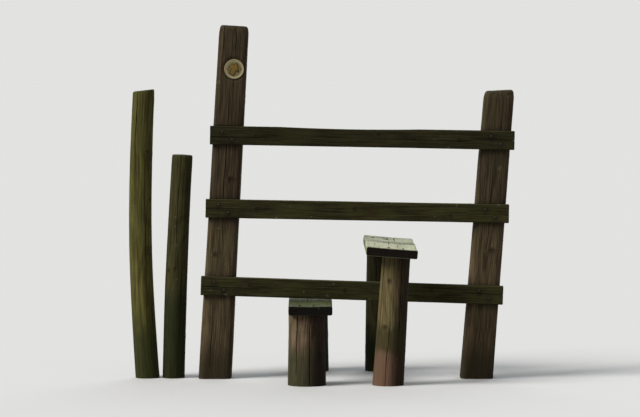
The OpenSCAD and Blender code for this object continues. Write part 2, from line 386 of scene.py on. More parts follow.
def to_object(node, kind, skin, material):
    """A skin as the piece for a CAD node, with its masks as point attributes."""
    p = skin.place + skin.out * skin.depth[..., None]
    rows, cols = p.shape[:2]
    points = np.concatenate([p.reshape(-1, 3), p[[0, -1]].mean(1)])
    foot, last = rows * cols, (rows - 1) * cols
    fans = [(foot, (i + 1) % cols, i) for i in range(cols)]
    fans += [(foot + 1, last + i, last + (i + 1) % cols) for i in range(cols)]
    mesh = new_mesh(f"{node}_{kind}", points.tolist(), ring_faces(rows, cols) + fans)
    for key in ("grain", "ring", "check", "knot", "end", "stain", "worn"):
        values = getattr(skin, key, np.zeros((rows, cols))).reshape(rows, cols, -1)
        flat = np.concatenate([values.reshape(rows * cols, -1), values[[0, -1]].mean(1)])
        form, field = ("FLOAT_VECTOR", "vector") if key == "grain" else ("FLOAT", "value")
        layer = mesh.attributes.new(key, form, "POINT")
        layer.data.foreach_set(field, flat.astype(np.float32).ravel())
    finished(mesh, material, node)


# Standing timbers

def levels(top, notches, knots, seat):
    """Heights of the rows, closer at knots, seat and notches' edges."""
    heights = closer_at_knots(np.linspace(0, top, round(top / ROW_PITCH)), knots)
    if seat:
        heights = closer(heights, [(seat.z, seat.r + SEAT_EDGE)], SEAT_ROW_PITCH)
    for notch in notches:
        for edge in (notch.low, notch.high):
            heights = heights[np.abs(heights - edge) > LEDGE_ROOM]
            heights = np.append(heights, [edge - LEDGE, edge + LEDGE])
    return np.unique(heights)


def standing_rows(post, heights):
    """Height, rise of the rays and share of the width of each row."""
    rows = [(0.0, 0.0, f) for f in CLOSE] + [(z, 0.0, 1.0) for z in heights]
    if post.capped:
        rise = np.arange(6 * MM, post.half - MM, 4 * MM) / post.half
        rows += [(post.side_top, r, 1.0) for r in [*rise, *(1 / f for f in CAP)]]
    else:
        rows += [(post.top, 0.0, f) for f in reversed(CLOSE)]
    return np.array(rows).T


def reach_table(post, z, rise, last_side):
    """Reach of each row's rays, with the crown's first rows fitted to the sides."""
    table = np.empty((len(z), post.ANGLES))
    highest = post.side_top - (0 if post.capped else 8 * MM)
    table[rise == 0] = post.sides(z[rise == 0], 0.5 * MM, highest)
    if post.capped:
        crown = post.crown(post.side_top, np.append(0.0, rise[rise > 0]))
        fade = np.clip(1 - rise[rise > 0] / 0.6, 0, 1)[:, None]
        table[rise > 0] = crown[1:] + fade * (table[last_side] - crown[0])
    return table


def read_between(table, theta):
    """A table's values at angles between its columns."""
    angles = table.shape[1]
    spot = theta / (2 * pi) % 1 * angles
    lower = np.floor(spot).astype(int) % angles
    row, part = np.arange(len(table))[:, None], spot % 1
    return table[row, lower] * (1 - part) + table[row, (lower + 1) % angles] * part


def row_slopes(notches, z, rise):
    """Slope of each row to the right: the rails' at their notches, none at the ends."""
    middles = [(notch.low + notch.high) / 2 for notch in notches]
    slope = np.interp(z, middles, [notch.slope for notch in notches])
    return slope * smoothstep(0, 0.25, z) * np.clip(1 - rise, 0, 1)


def close_ends(skin, post, rise, inward, last_side):
    """Marks the end grain, tilts a cut top and turns flat ends up or down."""
    row = np.arange(len(rise))[:, None]
    if post.capped:
        skin.end = np.where(rise[:, None] > 0, smoothstep(0.96, 0.84, inward), 0)
        skin.share = np.where(rise > 0, np.minimum(inward.mean(1), 1), skin.share)
    else:
        lid = row > last_side
        skin.end = lid + 0 * inward
        climb = smoothstep(0.6, 1, skin.s / post.top)[:, None]
        skin.place[..., 2] += post.top_slope() * (skin.place[..., 0] - post.top_x) * climb
        skin.out = np.where(lid[..., None], np.array(UP), skin.out)
    skin.out = np.where(row[..., None] < len(CLOSE), np.array(-UP), skin.out)


def standing(node, seed, cracks, knots, wander, rounding=4, capped=True, notched=False, seat=None,
             lumps=1.1):
    """Skin of a standing timber, found by rays from its axis."""
    cracks, knots = [crack(*mark) for mark in cracks], [knot(*mark) for mark in knots]
    post = Upright(node, rounding, capped)
    notches = notches_of(post) if notched else []
    heights = levels(post.side_top, notches, knots, seat)
    last_side = len(CLOSE) + len(heights) - 1
    z, rise, share = standing_rows(post, heights)
    table = reach_table(post, z, rise, last_side)

    girth = table[len(CLOSE) + 2].mean() * 2 * pi
    u = columns(girth, COLUMN_PITCH, cracks)
    theta = 2 * pi * (u[None, :] + flow(u, z, girth, seed + 9, knots, wander * MM) / girth)
    reach = read_between(table, theta) * share[:, None]
    out = unit(np.stack([np.cos(theta), np.sin(theta), rise[:, None] + 0 * theta], -1))
    place = out * reach[..., None] + np.stack([post.middle(z), post.y + 0 * z, z], -1)[:, None, :]
    if notches:
        place[..., 2] += row_slopes(notches, z, rise)[:, None] * reach * np.cos(theta)

    x, y = place[..., 0] - post.middle(place[..., 2]), place[..., 1] - post.y
    inward = np.hypot(x, y)
    inward = inward / np.maximum(inward[last_side], 1e-6)
    skin = Fields(place=place, out=out, u=u, girth=girth, s=z, share=share, reach=reach, y=post.y,
                  stain=np.zeros_like(theta))
    close_ends(skin, post, rise, inward, last_side)
    skin.s = np.maximum(z, place[..., 2].mean(1))
    scale = np.where(skin.end > 0, np.minimum(inward, 1), skin.share[:, None])
    skin.grain = grain_place(girth, u, scale, place[..., 2])
    skin.ring = year_rings(x, y, z, skin.grain, seed)
    weather(skin, seed, cracks, knots, lumps=lumps)
    skin.depth[:len(CLOSE)] = 0
    for notch in notches:
        cut_notch(skin, notch, seed)
    if seat:
        cut_seat(skin, seat)
    return skin


def reach_to(skin, y):
    """Reach at which a skin's points would lie in the plane at y."""
    return (y - skin.y) / np.minimum(skin.out[..., 1], -1e-6)


def cut_notch(skin, notch, seed, clearance=0.4 * MM, climb=16 * MM, run=38 * MM):
    """Cuts a rail's notch into a skin's near face, darkens its floor with painted shade, and stains the
    face over and under it, with painted shade near the rail.
    """
    s, facing = skin.s, skin.out[..., 1]
    limit = reach_to(skin, notch.floor + clearance)
    rows = (s > notch.low) & (s < notch.high) & (skin.share >= 0.999)
    cut = rows[:, None] & (facing < -0.05) & (skin.reach + skin.depth > limit)
    skin.depth = np.where(cut, limit - skin.reach, skin.depth)
    skin.check, skin.knot = (np.where(cut, 0, mask) for mask in (skin.check, skin.knot))
    # Over and under the notch: water stain, with painted shade close to the rail; inside it, painted
    # shade
    above, below = np.maximum(s - notch.high, 0), np.maximum(notch.low - s, 0)
    damp = np.exp(-above / climb - below / run)[:, None] * smoothstep(0.35, -0.5, facing)
    damp = damp * np.clip(0.75 + 0.6 * noise(skin.grain, (70, 70, 8), seed + 70), 0, 1)
    skin.stain = np.maximum(skin.stain, np.where(cut, 0.8, 0.75 * damp))


def cut_seat(skin, seat, clearance=0.3 * MM, stained=14 * MM):
    """Shaves a skin's near face flat behind the disc, and stains it round it."""
    place = skin.place + skin.out * skin.depth[..., None]
    r = np.hypot(place[..., 0] - seat.x, place[..., 2] - seat.z)
    near_face = skin.out[..., 1] < -0.3
    flat = smoothstep(seat.r + SEAT_EDGE, seat.r, r) * near_face
    limit = reach_to(skin, seat.y + clearance)
    proud = np.maximum(skin.reach + skin.depth - limit, 0)
    skin.depth = skin.depth - flat * proud
    stain = 0.45 * smoothstep(seat.r + stained, seat.r, r) * near_face
    skin.stain = np.maximum(skin.stain, stain)


# Boards

def outline(half_a, half_b, r):
    """Rounded rectangle as (length so far, point, outward normal), counterclockwise."""
    points, normals = [], []
    for k, (sa, sb) in enumerate([(1, -1), (1, 1), (-1, 1), (-1, -1)]):
        for a in np.radians(np.linspace(-90, 0, 7) + 90 * k):
            normal = np.array([cos(a), sin(a)])
            points.append(np.array([sa * (half_a - r), sb * (half_b - r)]) + r * normal)
            normals.append(normal)
    points, normals = np.array(points + points[:1]), np.array(normals + normals[:1])
    run = np.concatenate([[0], np.cumsum(np.linalg.norm(np.diff(points, axis=0), axis=1))])
    return run, points, normals


def on_face(mark, half_a, half_b):
    """A crack or knot on a board, its u changed from the form where 2.4 is 0.4 across face 2."""
    lengths = [half_b, half_a, half_b, half_a]
    face, across = int(mark.u), mark.u % 1
    mark.u = (sum(lengths[:face]) + across * lengths[face]) / sum(lengths)
    return mark


def board_axes(solid, along):
    """A board's axes across, up and along, and half its size along each."""
    place, normal, _ = solid.hit(solid.centre, -UP)
    b_axis = -normal
    l_axis = (Vector(along) - Vector(along).dot(b_axis) * b_axis).normalized()
    a_axis = b_axis.cross(l_axis)
    half_b = (solid.centre - place).dot(b_axis)
    half_a, half_l = (solid.hit(solid.centre, axis)[2] for axis in (a_axis, l_axis))
    return (a_axis, b_axis, l_axis), (half_a, half_b, half_l)


def board_rows(half_l, knots):
    """Place, inset and share of the width of each row."""
    first, last = END_ROOM - half_l, half_l - END_ROOM
    inner = closer_at_knots(np.linspace(first, last, round(2 * half_l / BOARD_ROW_PITCH)), knots)
    edge = [(0.0, END_ROUND), (0.8 * MM, 0.8 * MM), (END_ROUND, 0.0)]
    rows = [(-half_l, END_ROUND, f) for f in CLOSE]
    rows += [(d - half_l, i, 1.0) for d, i in edge] + [(s, 0, 1.0) for s in inner]
    rows += [(half_l - d, i, 1.0) for d, i in reversed(edge)]
    rows += [(half_l, END_ROUND, f) for f in reversed(CLOSE)]
    return np.array(rows).T


def top_dip(solid, axes, half_b, half_l, s):
    """Depth of the hollows worn in a board's top."""
    _, b_axis, l_axis = axes
    start, inside = half_b + 0.1, half_l - 6 * MM
    return np.array([solid.hit(solid.centre + l_axis * x + b_axis * start, -b_axis)[2] - 0.1
                     for x in np.clip(s, -inside, inside)])[:, None]


def board(node, along, seed, cracks, knots, nails, pith, edge, wander, pitch=PLANK_COLUMN_PITCH,
          dish=0.0, grain=0.4, chips=4.5):
    """Skin of a sawn board, found by rays."""
    solid = Solid(node)
    axes, (half_a, half_b, half_l) = board_axes(solid, along)
    cracks = [on_face(crack(*mark), half_a, half_b) for mark in cracks]
    knots = [on_face(knot(*mark), half_a, half_b) for mark in knots]
    run, points, normals = outline(half_a, half_b, edge * MM)
    girth = run[-1]
    u = columns(girth, pitch, cracks)
    s, inset, share = board_rows(half_l, knots)

    shift = flow(u, s, girth, seed + 9, knots, wander * MM)
    at = (u[None, :] * girth + shift * smoothstep(0, 0.02, half_l - np.abs(s))[:, None]) % girth
    a, b, na, nb = (np.interp(at, run, v) for v in (*points.T, *normals.T))
    a = share[:, None] * (a - na * inset[:, None])
    b = share[:, None] * (b - nb * inset[:, None])
    dip = top_dip(solid, axes, half_b, half_l, s)
    upper = np.clip(b / half_b, 0, 1) ** 2
    crosswise = 1 - (a / half_a) ** 2
    worn = np.clip(dip / (6 * MM), 0, 1) * upper * np.clip(crosswise + 0.25, 0, 1)
    b = b - upper * (dip + dish * MM * crosswise)
    place = np.array(solid.centre) + np.stack([a, b, s[:, None] + 0 * a], -1) @ np.array(axes)
    end = np.where(share < 1, 1.0, np.clip(inset / END_ROUND, 0, 1))[:, None] + 0 * a
    wall = (share[:, None] == 1).astype(float)
    out = unit(np.stack([na * wall, nb * wall, end * np.sign(s)[:, None]], -1) @ np.array(axes))

    grained = grain_place(girth, u, share[:, None], s[:, None])
    ring = year_rings(a, b, s, grained, seed, pith, bends=1.7, sway=14, waver=1.2)
    skin = Fields(place=place, out=out, grain=grained, ring=ring, u=u, s=s, share=share, end=end,
                  girth=girth, worn=worn)
    weather(skin, seed, cracks, knots, grain)
    chipped = smoothstep(0.1, 0.75, noise(grained, (26, 26, 11), seed + 40, 2))
    corner = np.clip(np.minimum(np.abs(na), np.abs(nb)) * 1.5, 0, 1)
    skin.depth = skin.depth - corner * chipped * chips * MM * wall
    skin.stain = iron_stain(place, grained, nails, seed)
    return skin


def iron_stain(place, grain, nails, seed, spread=15 * MM, run=34 * MM, climb=9 * MM):
    """Dark stain round each nail, longest below it."""
    stain = np.zeros(place.shape[:2])
    for nail, _ in nails:
        d = place - np.array(nail)
        flat = np.hypot(d[..., 0], d[..., 1])
        down, up = np.maximum(-d[..., 2], 0), np.maximum(d[..., 2], 0)
        stain = np.maximum(stain, np.exp(
            -(flat / spread) ** 2 - (down / run) ** 2 - (up / climb) ** 2))
    return np.clip(stain * (0.8 + 0.5 * noise(grain, (90, 90, 20), seed + 80)), 0, 1)


# Materials

BLACK, WHITE = (0, 0, 0, 1), (1, 1, 1, 1)


def srgb(code):
    """Linear colour of a code such as 0xFF8000."""
    return tuple(c / 12.92 if c <= 0.04045 else ((c + 0.055) / 1.055) ** 2.4
                 for c in ((code >> place & 255) / 255 for place in (16, 8, 0))) + (1.0,)


class Graph:
    """Short ways to build a material's or world's nodes."""

    def __init__(self, owner):
        owner.use_nodes = True
        self.owner, self.tree = owner, owner.node_tree

    def node(self, kind, inputs=(), **settings):
        n = self.tree.nodes.new("ShaderNode" + kind)
        for key, value in settings.items():
            setattr(n, key, value)
        self.fill(n, inputs)
        return n

    def fill(self, node, inputs):
        """Gives a node's inputs a value or a link."""
        for key, value in dict(inputs).items():
            if isinstance(value, bpy.types.NodeSocket):
                self.tree.links.new(value, node.inputs[key])
            else:
                node.inputs[key].default_value = value

    def math(self, operation, *values):
        return self.node("Math", enumerate(values), operation=operation).outputs[0]

    def vector(self, operation, *values, output=0):
        return self.node("VectorMath", enumerate(values), operation=operation).outputs[output]

    def times(self, a, b):
        return self.math("MULTIPLY", a, b)

    def sum(self, *terms):
        """Sum of (value, weight) pairs."""
        total = self.times(*terms[0])
        for value, weight in terms[1:]:
            total = self.math("MULTIPLY_ADD", value, weight, total)
        return total

    def span(self, value, low, high, to_low=0.0, to_high=1.0):
        """Value smoothly mapped from one range to another, and held at its ends."""
        return self.node("MapRange", enumerate((value, low, high, to_low, to_high)),
                         interpolation_type="SMOOTHSTEP").outputs[0]

    def attribute(self, name, output="Fac"):
        return self.node("Attribute", attribute_name=name).outputs[output]

    def noise(self, vector, scale, detail, roughness=0.6, output="Fac"):
        inputs = {"Vector": vector, "Scale": scale, "Detail": detail, "Roughness": roughness}
        return self.node("TexNoise", inputs).outputs[output]

    def mix(self, share, a, b):
        """Colour between a and b, by a Mix node's colour sockets."""
        return self.node("Mix", {0: share, 6: a, 7: b}, data_type="RGBA").outputs[2]

    def ramp(self, value, stops):
        """Colour that runs through three (place, colour) stops."""
        n = self.node("ValToRGB", {"Fac": value})
        n.color_ramp.elements.new(0.5)
        for element, (at, colour) in zip(n.color_ramp.elements, stops):
            element.position, element.color = at, colour
        return n.outputs["Color"]


class Material(Graph):
    """A material's nodes, with what most materials start from."""

    def __init__(self, name):
        super().__init__(bpy.data.materials.new(name))
        self.place = self.node("TexCoord").outputs["Object"]
        geometry = self.node("NewGeometry").outputs
        self.facing, self.pointiness = geometry["Normal"], geometry["Pointiness"]

    def surface(self, colour, roughness, specular, metallic=0.0, **relief):
        """The finished material; relief is the inputs of a Bump node."""
        inputs = {"Base Color": colour, "Roughness": roughness, "Specular IOR Level": specular,
                  "Metallic": metallic}
        if relief:
            inputs["Normal"] = self.node("Bump", relief).outputs["Normal"]
        self.fill(self.tree.nodes["Principled BSDF"], inputs)
        return self.owner


class Wood(Material):
    """A timber's noises and masks, which its layers share."""

    def __init__(self, name, ring_pitch):
        super().__init__(name)
        self.grain = self.attribute("grain", "Vector")
        self.streak = self.drawn_out(0.035, 170, 4)
        self.fibre = self.drawn_out(0.02, 620, 2)
        self.broad = self.drawn_out(0.2, 24, 3)
        self.hair = self.span(self.drawn_out(0.014, 250, 2, 0.5), 0.35, 0.29)
        self.patch = self.noise(self.place, 9, 5, 0.65)
        self.speck = self.noise(self.place, 260, 2)
        turns = self.sum((self.attribute("ring"), 2 * pi / ring_pitch), (self.broad, 5.0))
        self.late = self.span(self.math("SINE", turns), 0.1, 0.98)
        self.ends, self.worn = self.attribute("end"), self.attribute("worn")
        self.long = self.math("SUBTRACT", 1.0, self.ends)
        facing = self.parts(self.facing)
        self.right, self.upward = facing["X"], self.span(facing["Z"], 0.15, 0.8)
        self.height = self.parts(self.place)["Z"]

    def parts(self, vector):
        return self.node("SeparateXYZ", {"Vector": vector}).outputs

    def drawn_out(self, along, scale, detail, roughness=0.6):
        """Noise drawn out along the grain."""
        stretched = self.vector("MULTIPLY", self.grain, (1, 1, along))
        return self.noise(stretched, scale, detail, roughness)


def long_grain(w, dark, mid, light, algae, silver, green, grey, grime):
    """Late wood, bleached and boot-worn parts, tops partly paled by painted light, grime, algae and fine
    splits.
    """
    tone = w.sum((w.streak, 0.5), (w.broad, 0.27), (w.fibre, 0.33))
    colour = w.ramp(tone, [(0.37, dark), (0.53, mid), (0.70, light)])
    colour = w.mix(w.times(w.late, 0.42), colour, dark)
    bleach = w.span(w.sum((w.patch, 0.6), (w.streak, 0.5)), 0.46, 0.7)
    # Upward faces paler: weathering, with painted light from above
    pale = w.times(w.math("MAXIMUM", w.times(bleach, 0.55), w.upward), grey)
    colour = w.mix(pale, colour, silver)
    colour = w.mix(w.times(w.worn, w.span(w.streak, 0.3, 0.6, 0.15, 0.5)), colour, silver)
    if grime:
        dirty = w.sum((w.patch, 1.0), (w.broad, 0.5), (w.worn, -0.35))
        colour = w.mix(w.span(dirty, 0.55, 0.95, 0.0, grime), colour, dark)
    moss = w.span(w.sum((w.patch, 0.9), (w.streak, 0.35), (w.right, -0.05)), 0.52, 0.78)
    colour = w.mix(w.times(moss, green), colour, algae)
    return w.mix(w.times(w.times(w.hair, w.long), 0.7), colour, srgb(0x140F0B))


def end_grain(w, end, algae, green):
    """End grain with dark rays and rings, and algae where it faces up."""
    flat = w.vector("MULTIPLY", w.grain, (1, 1, 0))
    outwards = w.vector("ADD", w.vector("NORMALIZE", flat), w.vector("MULTIPLY", flat, (5, 5, 5)))
    away = w.vector("LENGTH", flat, output="Value")
    rays = w.times(w.span(w.noise(outwards, 8, 3, 0.7), 0.62, 0.4), w.span(away, 0.004, 0.02))
    dark = w.mix(0.55, end, BLACK)
    colour = w.mix(w.sum((rays, 0.5), (w.span(w.patch, 0.6, 0.4), 0.35)), end, dark)
    colour = w.mix(w.times(w.late, w.span(w.broad, 0.35, 0.6, 0.1, 0.5)), colour, dark)
    return w.mix(w.times(w.span(w.patch, 0.45, 0.7), w.times(w.upward, green)), colour, algae)


def knotted(w, colour, dark):
    """Colour with brown knots, their darker hearts and rims."""
    knots = w.sum((w.attribute("knot"), 1.0), (w.speck, 0.5), (w.streak, 0.7), (-0.6, 1.0))
    colour = w.mix(w.span(knots, 0.3, 0.8, 0.0, 0.75), colour, w.mix(0.5, dark, srgb(0x342014)))
    rim = w.times(w.span(knots, 0.22, 0.4), w.span(knots, 0.62, 0.42))
    colour = w.mix(w.times(rim, w.span(w.patch, 0.35, 0.6, 0.1, 0.6)), colour, dark)
    return w.mix(w.span(knots, 0.86, 0.98, 0.0, 0.5), colour, w.mix(0.6, dark, BLACK))


def lichen_spots(w):
    """Mask of round lichen spots, in patches."""
    warp = w.vector("MULTIPLY_ADD", w.noise(w.place, 45, 2, output="Color"), (0.022,) * 3, w.place)
    cells = w.node("TexVoronoi", {"Vector": warp, "Scale": 30.0})
    chance = w.node("SeparateColor", {"Color": cells.outputs["Color"]}).outputs["Red"]
    size = w.times(w.math("SUBTRACT", chance, 0.66), 0.85)
    spot = w.span(w.math("SUBTRACT", size, cells.outputs["Distance"]), -0.02, 0.07)
    return w.times(spot, w.span(w.sum((w.patch, 1.0), (w.speck, 0.25)), 0.56, 0.74))


def foot_and_painted_shade(w, colour, dark, algae, soil_and_ground_light, damp, head, painted_side_shade, painted_shadow_band):
    """Colour with a dirtied foot, partly painted ground light on one log, and painted shade on its head,
    one side and at one height.
    """
    foot = w.sum((w.patch, -0.16), (w.streak, -0.06), (w.height, 1.0))
    colour = w.mix(w.span(foot, damp - 0.2, damp - 0.04, 0.72, 0.0), colour, soil_and_ground_light)
    # Painted shade on the upper part, darker towards the top
    if head:
        share, start, full = head
        above = w.span(w.sum((w.height, 1.0), (w.patch, 0.25)), start + 0.12, full + 0.12)
        colour = w.mix(w.times(above, share), colour, w.mix(0.5, colour, BLACK))
    # Painted shade on the side towards +X, stronger near the head
    if painted_side_shade:
        side = w.sum((w.right, 1.0), (w.broad, 0.3), (w.patch, 0.3), (above, 0.25))
        colour = w.mix(w.span(side, 0.1, 1.0, 0.0, painted_side_shade), colour, w.mix(0.6, dark, BLACK))
    # Painted shadow: a dark ring round the timber at one height
    if painted_shadow_band:
        share, level, half = painted_shadow_band
        off = w.math("ABSOLUTE", w.sum((w.height, 1.0), (w.patch, 0.2), (w.streak, 0.1),
                                       (-level - 0.15, 1.0)))
        colour = w.mix(w.span(off, half, 0.3 * half, 0.0, share), colour, w.mix(0.3, BLACK, algae))
    return colour


def timber(name, dark, mid, light, algae, silver, end, green, grey, lichen, damp=0.16, ring_pitch=3.6,
           soil_and_ground_light=0x282216, head=None, painted_side_shade=0.0, painted_shadow_band=None, grime=0.0):
    """Weathered timber. Damp is the height of its dirtied foot, partly painted ground light on one log,
    and head the (share, start, full height) of painted shade on its top; the painted shade on the side
    towards
    +X comes only with a head, and the painted shadow at one height takes (share, middle, half width)."""
    w = Wood(name, ring_pitch * MM)
    dark, mid, light, algae, silver, end, soil_and_ground_light = map(
        srgb, (dark, mid, light, algae, silver, end, soil_and_ground_light))
    colour = long_grain(w, dark, mid, light, algae, silver, green, grey, grime)
    colour = w.mix(w.ends, colour, end_grain(w, end, algae, green))
    colour = knotted(w, colour, dark)
    spot = lichen_spots(w)
    crust = w.times(spot, w.span(w.speck, 0.36, 0.54, lichen * 0.4, lichen))
    colour = w.mix(crust, colour, srgb(0x989A7E))
    # Convex edges silvered: worn arrises, with a painted edge highlight
    edge = w.span(w.pointiness, 0.52, 0.6, 0.0, 0.35)
    colour = w.mix(w.times(w.times(edge, w.long), grey), colour, silver)
    colour = foot_and_painted_shade(w, colour, dark, algae, soil_and_ground_light, damp, head, painted_side_shade, painted_shadow_band)
    colour = w.mix(w.times(w.attribute("stain"), 0.8), colour, srgb(0x140E0A))
    cavity = w.span(w.pointiness, 0.44, 0.5, 0.5, 0.0)
    shade = w.math("MAXIMUM", cavity, w.times(w.attribute("check"), 0.93))
    colour = w.mix(shade, colour, srgb(0x0C0906))
    relief = w.sum((w.streak, 0.9), (w.fibre, 0.6), (w.late, 0.18), (w.speck, 0.2), (spot, 0.4),
                   (w.hair, -0.9))
    return w.surface(colour, w.span(w.streak, 0.3, 0.7, 0.95, 0.78), 0.12, Height=relief,
                     Strength=0.75, Distance=1.3 * MM)


def rusty_iron():
    """Dark brown scale with orange rust and a little bare metal."""
    g = Material("rusty_iron")
    scale = g.noise(g.place, 420, 4, 0.7)
    colour = g.ramp(scale, [(0.36, srgb(0x1A1613)), (0.52, srgb(0x2E231C)), (0.7, srgb(0x503624))])
    bare = g.span(g.pointiness, 0.53, 0.62, 0.0, 0.25)
    colour = g.mix(bare, colour, srgb(0x544E46))
    return g.surface(colour, g.span(scale, 0.3, 0.7, 0.9, 0.6), 0.25, g.times(bare, 0.8),
                     Height=scale, Strength=0.6, Distance=0.5 * MM)


def faded_plastic(name, colour, dirt_and_shade, grime, centre=0.0, chalk=0.35):
    """Sun-bleached plastic with chalky streaks, dirt inside the rim, and dirt with painted shade in its
    creases.
    """
    g = Material(name)
    colour, dirt_and_shade = srgb(colour), srgb(dirt_and_shade)
    run = g.noise(g.vector("MULTIPLY", g.place, (1, 1, 0.25)), 90, 4, 0.7)
    speck = g.noise(g.place, 700, 2)
    tone = g.mix(g.span(run, 0.3, 0.7, 0.0, 0.3), colour, g.mix(chalk, colour, WHITE))
    away = g.vector("DISTANCE", g.place, DISC_MIDDLE, output="Value")
    tone = g.mix(g.span(away, DISC_R - RIM_W, DISC_R - 18 * MM, 0.0, centre), tone, dirt_and_shade)
    tone = g.mix(g.times(g.span(g.sum((run, 0.8), (speck, 0.3)), 0.5, 0.72), grime), tone, dirt_and_shade)
    # Darker in creases: dirt, with painted shade
    tone = g.mix(g.span(g.pointiness, 0.42, 0.5, 0.8, 0.0), tone, dirt_and_shade)
    return g.surface(tone, g.span(speck, 0.3, 0.7, 0.5, 0.75), 0.25, Height=speck, Strength=0.3,
                     Distance=0.2 * MM)


# Its head is painted shade: the upper post darker, as under trees
MAIN_POST = timber(
    "hewn_post_timber", 0x241C14, 0x4A3D2B, 0x705F46, 0x393B1C, 0x746A54, 0x4E4634, green=0.3,
    grey=0.3, lichen=0.2, head=(0.75, 0.66, 0.9))
# Its head is painted shade along the top rail
RAIL = timber(
    "rail_timber", 0x141108, 0x2A2612, 0x463F21, 0x2A2E0F, 0x605C3E, 0x322C1A, green=0.5, grey=0.25,
    lichen=0.25, damp=-1, head=(0.6, 0.92, 1.02))
TREAD_LOW = timber(
    "lower_tread_timber", 0x1D1D11, 0x353822, 0x525737, 0x2E361B, 0x5A6041, 0x0F0C08, green=0.4,
    grey=0.35, lichen=0.3, damp=-1, ring_pitch=5.0, grime=0.4)
# Its pale colours are weathered grey with painted sunlight
TREAD_HIGH = timber(
    "upper_tread_timber", 0x585642, 0x909274, 0xBCC0A2, 0x6A7848, 0xCCD0B4, 0x140F0A, green=0.3,
    grey=0.6, lichen=0.35, damp=-1, ring_pitch=5.0, grime=0.6)
# Painted shade under the tread at its head and on its +X side
LOG_LOW = timber(
    "lower_log_timber", 0x32201B, 0x624E3D, 0x8E7A62, 0x404624, 0x96866E, 0x5C503A, green=0.33,
    grey=0.3, lichen=0.2, damp=0.2, soil_and_ground_light=0x242D18, head=(0.3, 0.2, 0.32), painted_side_shade=0.85)
# Painted shade under the tread and on its +X side, a painted shadow low down, and a pinkish foot of soil
# with painted light from the ground
LOG_HIGH = timber(
    "upper_log_timber", 0x302319, 0x605037, 0x8C7957, 0x4C4E24, 0x968868, 0x5C503A, green=0.4,
    grey=0.3, lichen=0.2, damp=0.2, soil_and_ground_light=0x6C5042, head=(0.3, 0.44, 0.56), painted_side_shade=0.9,
    painted_shadow_band=(0.72, 0.225, 0.1))
# The far legs' dark green colours are painted shade, as are their head and +X side darkening
LOG_FAR = timber(
    "far_log_timber", 0x1A170D, 0x302D18, 0x4C472A, 0x2E3115, 0x646044, 0x504832, green=0.5,
    grey=0.2, lichen=0.2, damp=0.2, soil_and_ground_light=0x242814, head=(0.7, 0.36, 0.54), painted_side_shade=0.5)
# Its head is painted shade: darker towards the top
TALL_GUARD = timber(
    "tall_guard_timber", 0x26220F, 0x4D4821, 0x706939, 0x41451A, 0x7C7850, 0x4C4730, green=0.42,
    grey=0.25, lichen=0.2, damp=0.24, soil_and_ground_light=0x212813, head=(0.3, 0.95, 1.3))
SHORT_GUARD = timber(
    "short_guard_timber", 0x1D180D, 0x36311B, 0x544D2C, 0x2E3414, 0x666142, 0x383222, green=0.4,
    grey=0.22, lichen=0.15, damp=0.4, soil_and_ground_light=0x1D2311)
IRON = rusty_iron()
DISC = faded_plastic("disc_plastic", 0x9D9169, 0x564410, 0.42, centre=0.8)
ARROW = faded_plastic("arrow_yellow", 0x6E5503, 0x3E2F06, 0.35, chalk=0.1)
ARROW_EDGE = faded_plastic("arrow_outline", 0x20190A, 0x181309, 0.3, chalk=0.04)


# Nails

def in_mm(*pairs):
    return [(a * MM, b * MM) for a, b in pairs]


NAIL_HEAD = in_mm((5.2, -2.5), (5.5, 0.3), (5.2, 1.0), (4.2, 1.5), (2.6, 1.8), (1.0, 1.9))
RAIL_NAILS = in_mm((-24, 19), (21, -17))
LEG_NAILS = in_mm((-34, 12), (31, -14))


def turned(profile, sides, place, axis, wobble=0.0, seed=0):
    """Points and faces of a turned shape: profile has (radius, height along axis) pairs."""
    axis = Vector(axis).normalized()
    side = axis.orthogonal().normalized()
    across = axis.cross(side)
    uneven = 1 + wobble * np.random.default_rng(seed).uniform(-1, 1, sides)
    radial = [side * cos(a) + across * sin(a) for a in 2 * pi * np.arange(sides) / sides]
    points = [Vector(place) + way * r * share + axis * h
              for r, h in profile for way, share in zip(radial, uneven)]
    return points, closed_rings(len(profile), sides)


def iron_piece(name, parts):
    """One piece made of several turned shapes."""
    points, faces = [], []
    for part_points, part_faces in parts:
        faces += [tuple(i + len(points) for i in face) for face in part_faces]
        points += part_points
    finished(new_mesh(name, points, faces), IRON)


def nail_heads(name, nails):
    """Hammered nail heads, each on a (place, outward normal)."""
    iron_piece(name, [turned(NAIL_HEAD, 20, place, normal, 0.07, seed)
                      for seed, (place, normal) in enumerate(nails)])


def nails_in_rail(name):
    """(place, outward normal) of a rail's nails, two at each post."""
    rail, found = Solid(name), []
    for post in map(Upright, ("waymark_post", "right_post")):
        x = post.middle(rail.centre.z)
        z = rail_level(rail, x)
        found += [rail.hit((x + dx, -1, z + dz), -NEAR)[:2] for dx, dz in RAIL_NAILS]
    return found


def nails_in_tread(step):
    """(place, outward normal) of a tread's nails, two over each leg."""
    tread, found = Solid(f"{step}_tread"), []
    for end in ("near", "far"):
        leg = Upright(f"{step}_{end}_leg")
        found += [tread.hit((leg.top_x + dx, leg.y + dy, 2), -UP)[:2] for dx, dy in LEG_NAILS]
    return found


rail_nails = {name: nails_in_rail(name) for name in RAILS}
tread_nails = {step: nails_in_tread(step) for step in ("lower", "upper")}
nail_heads("rail_nails", sum(rail_nails.values(), []))
nail_heads("tread_nails", sum(tread_nails.values(), []))


# The timbers
# Cracks and knots are given as crack and knot take them and, on a board, as on_face reads them.

